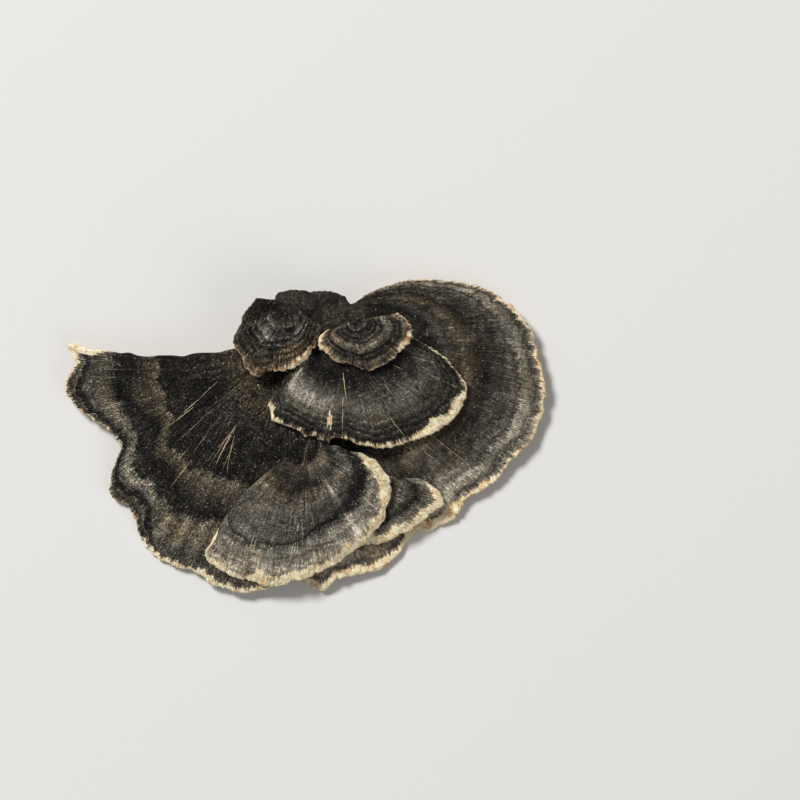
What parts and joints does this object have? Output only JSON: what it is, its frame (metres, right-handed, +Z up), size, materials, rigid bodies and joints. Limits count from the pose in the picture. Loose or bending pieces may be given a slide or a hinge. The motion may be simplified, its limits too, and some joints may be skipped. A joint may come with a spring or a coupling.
{
  "type": "turkey tail fungus",
  "caption": "Dried clump of turkey tail bracket fungus: overlapping fan-shaped caps with dark concentric zones and pale wavy margins on a shared base cut off flat.",
  "frame": {"origin": "centre of the flat cut under the base", "axes": "+Z up out of the cut, towards the tops of the caps; -Y towards the front margins, where the caps fan out; +X along the clump's longest side, to the right when seen from above with -Y nearest"},
  "size_m": [0.1202, 0.0784, 0.0202],
  "materials": {
    "torn_tissue": "matte",
    "left_fan_skin": "matte",
    "right_fan_skin": "matte",
    "front_fan_skin": "matte",
    "right_lobe_skin": "matte",
    "middle_fan_skin": "matte",
    "upper_left_fan_skin": "matte",
    "upper_right_fan_skin": "matte"
  },
  "bodies": {
    "root": {"base": "torn_tissue", "left_fan": "left_fan_skin", "right_fan": "right_fan_skin", "front_fan": "front_fan_skin", "right_lobe": "right_lobe_skin", "middle_fan": "middle_fan_skin", "upper_left_fan": "upper_left_fan_skin", "upper_right_fan": "upper_right_fan_skin"}
  },
  "joints": []
}
